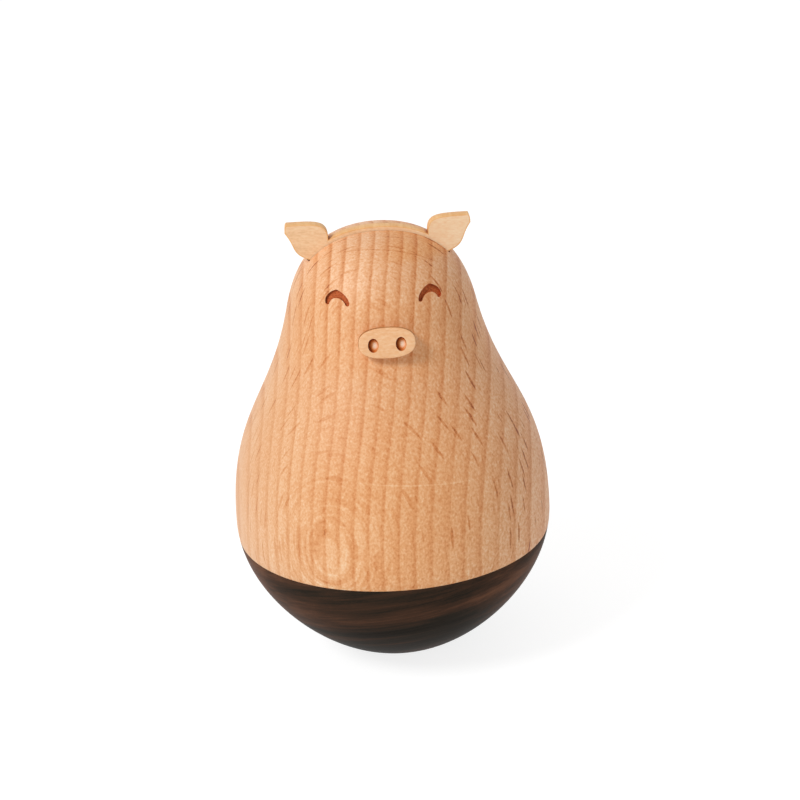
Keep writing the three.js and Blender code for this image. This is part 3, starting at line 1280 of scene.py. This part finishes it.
@dataclass
class SnoutPlate:
    """A small oval cut plate with two nostrils, let into the face."""

    outline: Outline
    height: float = 6.3 * MM
    squareness: float = 2.5
    thickness: float = 3.0 * MM
    proud: float = 2.2 * MM
    drop: float = 19.3 * MM
    glue_gap: float = 0.04 * MM
    edge: float = 0.2 * MM
    edge_steps: int = 3
    front_lean: float = 0.3
    nostril_taper: float = 0.2 * MM
    nostril: Vector = Vector((2.2, 2.9, 0.9)) * MM
    nostril_spread: float = 5.7 * MM
    nostril_drop: float = 0.35 * MM
    nostril_steps: int = 48
    steps: int = 96
    face_finish: PlateFinish = PlateFinish(
        name="snout_face",
        tones=((0.0, tint("d29462")), (0.5, tint("f2b884")), (1.0, tint("fdd5aa"))),
        grain_share=0.3,
    )
    edge_finish: CutEdgeFinish = CutEdgeFinish("snout_cut_edge", tint("d69a60"), tint("b4703c"))
    width: float = field(init=False)
    placing: Matrix = field(init=False)

    def __post_init__(self) -> None:
        """Takes the snout's width from the frame and finds its place on the face."""
        low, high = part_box("snout")
        self.width = high.x - low.x
        place, normal = self.outline.at_height(self.outline.crown - self.drop)
        tilt = math.atan2(normal.z, normal.x)
        lean = Matrix.Rotation(math.pi / 2 - tilt, 4, "X")
        self.placing = Matrix.Translation((0, -place.x, place.z)) @ lean

    def _oval(self, room: float, height: float) -> Loop:
        """The plate's outline.

        Args:
            room: How much wider it is drawn all round.
            height: The height at which it is drawn, above the face.

        Returns:
            The points of a closed loop.
        """
        loop = []
        for i in range(self.steps):
            turn = 2 * math.pi * i / self.steps
            x = math.copysign(abs(math.cos(turn)) ** (2 / self.squareness), math.cos(turn))
            y = math.copysign(abs(math.sin(turn)) ** (2 / self.squareness), math.sin(turn))
            loop.append(Vector((x * (self.width / 2 + room), y * (self.height / 2 + room), height)))
        return loop

    def _nostril(self, side: Side) -> Loop:
        """The mouth of a nostril in the plate's front.

        Args:
            side: The half of the face.

        Returns:
            The points of a closed loop.
        """
        reach = Vector((self.nostril.x / 2, 0, 0))
        rise = Vector((0, self.nostril.y / 2, 0))
        return arc(self._nostril_middle(side), reach, rise, 0, 2 * math.pi, self.nostril_steps)[:-1]

    def _nostril_middle(self, side: Side) -> Vector:
        """The middle of a nostril's mouth."""
        return Vector((side.value * self.nostril_spread / 2, -self.nostril_drop, self.proud))

    def build(self) -> bpy.types.Object:
        """Models the plate: a pierced front, drawn back into its edge and into the nostrils.

        Returns:
            The plate, in place.
        """
        bm = bmesh.new()
        rim = self._ring(bm, self._oval(0, self.proud))
        mouths = [self._ring(bm, self._nostril(side)) for side in Side]
        bmesh.ops.triangle_fill(bm, use_beauty=True, edges=rim + sum(mouths, []), normal=(0, 0, 1))
        self._drawn_back(bm, rim, self.thickness, PlateFace.EDGE)
        finishes = [self.face_finish, self.edge_finish]
        narrowing = 1 - 2 * self.nostril_taper / self.nostril.x
        for side, mouth in zip(Side, mouths):
            middle = self._nostril_middle(side)
            self._drawn_back(bm, mouth, self.nostril.z, len(finishes), middle, narrowing)
            name = f"nostril_{side.name.lower()}"
            mouth_half = self.nostril / 2 / MM
            finishes.append(BurntPitFinish(name, self.placing @ middle / MM, mouth_half.x, mouth_half.y))
        bmesh.ops.recalc_face_normals(bm, faces=bm.faces)
        soften(bm, rim, self.edge, self.edge_steps)
        for face in bm.faces:
            if face.material_index == PlateFace.EDGE and face.normal.z > self.front_lean:
                face.material_index = PlateFace.FRONT
        bmesh.ops.transform(bm, matrix=self.placing, verts=bm.verts)
        return piece("snout_cut", bm, [finish.material() for finish in finishes])

    @staticmethod
    def _ring(bm: bmesh.types.BMesh, loop: Loop) -> list[bmesh.types.BMEdge]:
        """Adds a closed loop of edges to a mesh."""
        verts = [bm.verts.new(point) for point in loop]
        return [bm.edges.new(pair) for pair in zip(verts, verts[1:] + verts[:1])]

    @staticmethod
    def _drawn_back(
        bm: bmesh.types.BMesh,
        rim: list[bmesh.types.BMEdge],
        depth: float,
        finish: int,
        middle: Vector = Vector(),
        narrowing: float = 1.0,
    ) -> None:
        """Draws a rim back and closes it with a floor.

        Args:
            bm: The mesh.
            rim: A closed loop of edges.
            depth: How far back it is drawn.
            finish: The material number of the wall and the floor.
            middle: The middle of the rim.
            narrowing: The size of the floor against the rim's.
        """
        made = bmesh.ops.extrude_edge_only(bm, edges=rim)["geom"]
        moved = only(bmesh.types.BMVert, made)
        bmesh.ops.scale(bm, verts=moved, vec=(narrowing, narrowing, 1), space=Matrix.Translation(-middle))
        bmesh.ops.translate(bm, verts=moved, vec=(0, 0, -depth))
        floor = bmesh.ops.edgeloop_fill(bm, edges=only(bmesh.types.BMEdge, made))["faces"]
        for face in only(bmesh.types.BMFace, made) + floor:
            face.material_index = finish

    def seat_cutter(self, finish: bpy.types.Material) -> bpy.types.Object:
        """The solid that is milled out of the face for the plate.

        Args:
            finish: The material of the seat's walls.

        Returns:
            The solid, in place.
        """
        loop = self._oval(self.glue_gap, self.proud - self.thickness - self.glue_gap)
        bm = prism(loop, Vector((0, 0, self.width)))
        bmesh.ops.transform(bm, matrix=self.placing, verts=bm.verts)
        return piece("snout_seat", bm, [finish])

    def dress(self) -> None:
        """Builds the plate and puts it in the frame."""
        seat(self.build(), "snout")


@dataclass
class Body:
    """The bored beech turning, with the ear slot, the snout seat and the carved eyes."""

    outline: Outline
    ears: EarPlate
    snout: SnoutPlate
    fit: float = 0.12 * MM
    sides: int = 288
    seam_edge: float = 0.08 * MM
    bore_rise: float = 22 * MM
    neck_bore_wall: float = 8 * MM
    neck_bore_drop: float = 4 * MM
    eye_spread: float = 19.2 * MM
    eye_drop: float = 9.2 * MM
    eye_width: float = 4.9 * MM
    eye_height: float = 3.0 * MM
    eye_stroke: float = 1.58 * MM
    eye_end: float = 0.88 * MM
    eye_peak: float = 0.9 * MM
    eye_peak_fall: float = 0.2 * MM
    eye_shoulder: float = 1.4 * MM
    eye_vault: float = 0.65 * MM
    eye_leg: float = 0.7 * MM
    eye_splay: float = 0.4 * MM
    eye_depth: float = 0.65 * MM
    eye_steps: int = 24
    wood: BeechFinish = BeechFinish()
    slot_wall: CutEdgeFinish = CutEdgeFinish("slot_wall", tint("a5672f"), tint("6b3c1e"))
    seat_wall: CutEdgeFinish = CutEdgeFinish("seat_wall", tint("c98f5c"), tint("a0673a"))
    eye_wall: CutEdgeFinish = CutEdgeFinish(
        name="carved_eye",
        pale=tint("de7844"),
        scorched=tint("98461f"),
        scorch=Grain((0.32, 0.32, 0.32), 2.0),
        gloss=0.1,
    )

    def _profile(self) -> Loop:
        """Draws the turning's profile.

        Returns:
            Its points, from the top of the bores down to the seam and up the outside to the crown.
        """
        shape = self.outline
        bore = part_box("joining_disc")[1].x + self.fit
        bore_top = shape.seam + self.bore_rise
        neck = shape.temple_radius - self.neck_bore_wall
        neck_top = shape.temple_height - self.neck_bore_drop
        rim = shape.at_height(shape.seam)[0].x
        corners = (
            (0, neck_top),
            (neck, neck_top),
            (neck, bore_top),
            (bore, bore_top),
            (bore, shape.seam),
            (rim - self.seam_edge, shape.seam),
        )
        outside = [p for p in shape.points if p.z > shape.seam + self.seam_edge]
        return [Vector((x, 0, z)) for x, z in corners] + outside

    def _crescent(self, side: Side) -> Loop:
        """An eye seen from the front: a crescent under a blunt peak, with splayed legs and round ends.

        Args:
            side: The half of the face.

        Returns:
            The points of a closed loop in the XZ plane.
        """
        top = self.outline.crown - self.eye_drop
        round_end = self.eye_end / 2
        ends = top - self.eye_height + round_end
        out = self.eye_width / 2
        inside = out - self.eye_end
        upper = interpolate_bezier(
            Vector((0, 0, top)),
            Vector((self.eye_peak, 0, top - self.eye_peak_fall)),
            Vector((out, 0, ends + self.eye_shoulder)),
            Vector((out, 0, ends)),
            self.eye_steps,
        )
        lower = interpolate_bezier(
            Vector((inside, 0, ends)),
            Vector((inside - self.eye_splay, 0, ends + self.eye_leg)),
            Vector((self.eye_vault, 0, top - self.eye_stroke)),
            Vector((0, 0, top - self.eye_stroke)),
            self.eye_steps,
        )
        middle = Vector((out - round_end, 0, ends))
        reach = Vector((round_end, 0, 0))
        rise = Vector((0, 0, round_end))
        right = upper + arc(middle, reach, rise, 0, -math.pi, self.eye_steps)[1:-1] + lower
        shift = Vector((side.value * self.eye_spread / 2, 0, 0))
        return [point + shift for point in right + mirrored(right[1:-1])]

    def _gouge(self, side: Side, finish: bpy.types.Material) -> bpy.types.Object:
        """The solid that is carved out for an eye, equally deep all over.

        Args:
            side: The half of the face.
            finish: The material of the carved surface.

        Returns:
            The solid, in place.
        """
        bm = prism(self._crescent(side), Vector((0, -self.outline.belly_radius, 0)))
        gouge = piece(f"eye_{side.name.lower()}", bm, [finish])
        core = piece("uncarved", turned(self.outline.drawn_in(self.eye_depth), self.sides), [finish])
        carve(gouge, [core])
        return gouge

    def build(self) -> bpy.types.Object:
        """Turns the blank, then slots, seats and carves it.

        Returns:
            The body, in place.
        """
        walls = (self.slot_wall, self.seat_wall, self.eye_wall)
        wood, sawn, milled, burnt = (finish.material() for finish in (self.wood, *walls))
        body = piece("body_turned", turned(self._profile(), self.sides), [wood])
        cutters = [self.ears.slot_cutter(sawn), self.snout.seat_cutter(milled)]
        cutters += [self._gouge(side, burnt) for side in Side]
        carve(body, cutters)
        smooth(body)
        return body

    def dress(self) -> None:
        """Builds the body and puts it in the frame."""
        seat(self.build(), "body")


@dataclass
class Base:
    """The walnut turning that the toy rocks on, with the pocket for the steel slug."""

    outline: Outline
    fit: float = 0.15 * MM
    sides: int = 256
    seam_edge: float = 0.08 * MM
    taper: float = 6 * MM
    pocket_wall: float = 6.3 * MM
    wood: WalnutFinish = WalnutFinish()

    def _profile(self) -> Loop:
        """Draws the turning's profile.

        Returns:
            Its points, from the foot up the outside to the seam and down the stepped pocket.
        """
        shape = self.outline
        disc_low, disc_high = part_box("joining_disc")
        slug_low, slug_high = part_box("counterweight")
        rim = shape.at_height(shape.seam)[0].x
        slug_foot = shape.at_height(slug_low.z)[0].x - self.pocket_wall
        corners = (
            (rim - self.seam_edge, shape.seam),
            (disc_high.x + self.fit, shape.seam),
            (disc_high.x + self.fit, disc_low.z),
            (slug_high.x + self.fit, disc_low.z),
            (slug_high.x + self.fit, slug_low.z + self.taper),
            (slug_foot, slug_low.z),
            (0, slug_low.z),
        )
        outside = [p for p in shape.points if p.z < shape.seam - self.seam_edge]
        return [Vector(), *outside, *(Vector((x, 0, z)) for x, z in corners)]

    def build(self) -> bpy.types.Object:
        """Turns the base.

        Returns:
            The base, in place.
        """
        return piece("base_turned", turned(self._profile(), self.sides), [self.wood.material()])

    def dress(self) -> None:
        """Builds the base and puts it in the frame."""
        seat(self.build(), "base")


@dataclass
class Inside:
    """The steel slug and the joining disc, which keep their solids."""

    steel: SteelFinish = SteelFinish()
    wood: PlateFinish = PlateFinish("sawn_disc")

    def dress(self) -> None:
        """Gives both pieces their finishes."""
        for node, finish in (("counterweight", self.steel), ("joining_disc", self.wood)):
            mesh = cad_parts[node].data
            mesh.materials.clear()
            mesh.materials.append(finish.material())
            LOG.info("%s keeps its solid", node)


# Studio


@dataclass
class Studio:
    """A pale floor and soft daylight from the upper left."""

    floor_size: float = 8.0
    floor_colour: Colour = (0.95, 0.95, 0.95)
    floor_roughness: float = 0.9
    floor_lift: float = 0.6
    floor_glow: float = 1.36
    ambient: float = 0.5
    key_place: Vector = Vector((-0.62, -0.5, 0.75))
    key_size: float = 0.34
    key_power: float = 5.4
    aim: Vector = Vector((0, 0, 0.05))

    def build(self) -> None:
        """Makes the floor, the lamp and the world."""
        self._floor()
        self._lamp()
        self._world()

    def _floor(self) -> None:
        """A wide pale floor that the camera sees almost white, with the toy's shadow on it."""
        bm = bmesh.new()
        bmesh.ops.create_grid(bm, x_segments=1, y_segments=1, size=self.floor_size / 2)
        graph = MaterialGraph("pale_floor")
        graph.dress(Base_Color=self.floor_colour, Roughness=self.floor_roughness)
        glow = graph.add("ShaderNodeEmission", None, {"Color": WHITE, "Strength": self.floor_glow})
        inputs = {0: graph.seen() * self.floor_lift, 1: graph.shader.outputs[0], 2: glow.outputs[0]}
        mixed = graph.add("ShaderNodeMixShader", None, inputs)
        graph.feed(graph.tree.nodes["Material Output"].inputs["Surface"], mixed.outputs[0])
        piece("floor", bm, [graph.material])

    def _lamp(self) -> None:
        """One large soft lamp, up to the left in front of the toy."""
        data = bpy.data.lights.new("window", "AREA")
        data.shape = "DISK"
        data.size = self.key_size
        data.energy = self.key_power
        lamp = bpy.data.objects.new("window", data)
        lamp.location = self.key_place
        lamp.rotation_euler = (self.aim - self.key_place).to_track_quat("-Z", "Y").to_euler()
        bpy.context.scene.collection.objects.link(lamp)

    def _world(self) -> None:
        """A white surrounding that lights the toy at a plain level."""
        world = bpy.data.worlds.new("surrounding")
        bpy.context.scene.world = world
        world.use_nodes = True
        graph = Graph(world.node_tree, "Background")
        graph.dress(Color=WHITE, Strength=self.ambient + (1 - self.ambient) * graph.seen())


@dataclass
class Viewpoint:
    """The camera, at the photograph's viewing angle and a little rolled, as the photograph is."""

    azimuth: float = math.radians(-2.2)
    elevation: float = math.radians(20.48)
    roll: float = math.radians(-3.1)
    distance: float = 0.42
    aim_side: float = 2.88 * MM
    aim_height: float = 57.59 * MM
    lens: float = 86.1
    sensor: float = 36.0
    nearest: float = 10 * MM

    def build(self) -> None:
        """Makes the camera and gives it to the scene."""
        around = Quaternion((0, 0, 1), self.azimuth)
        back = around @ Vector((0, -math.cos(self.elevation), math.sin(self.elevation)))
        aim = around @ Vector((self.aim_side, 0, self.aim_height))
        data = bpy.data.cameras.new("camera")
        data.lens = self.lens
        data.sensor_width = self.sensor
        data.clip_start = self.nearest
        camera = bpy.data.objects.new("camera", data)
        camera.location = aim + back * self.distance
        camera.rotation_mode = "QUATERNION"
        camera.rotation_quaternion = (-back).to_track_quat("-Z", "Y") @ Quaternion((0, 0, 1), self.roll)
        bpy.context.scene.collection.objects.link(camera)
        bpy.context.scene.camera = camera


def main() -> None:
    """Builds the toy, its studio and the camera."""
    logging.basicConfig(level=logging.INFO, format="%(name)s %(message)s")
    bpy.context.scene.view_settings.view_transform = "Standard"
    outline = Outline()
    ears = EarPlate(outline)
    snout = SnoutPlate(outline)
    for assembly in (Body(outline, ears, snout), Base(outline), ears, snout, Inside()):
        assembly.dress()
    Studio().build()
    Viewpoint().build()


if __name__ == "__main__":
    main()
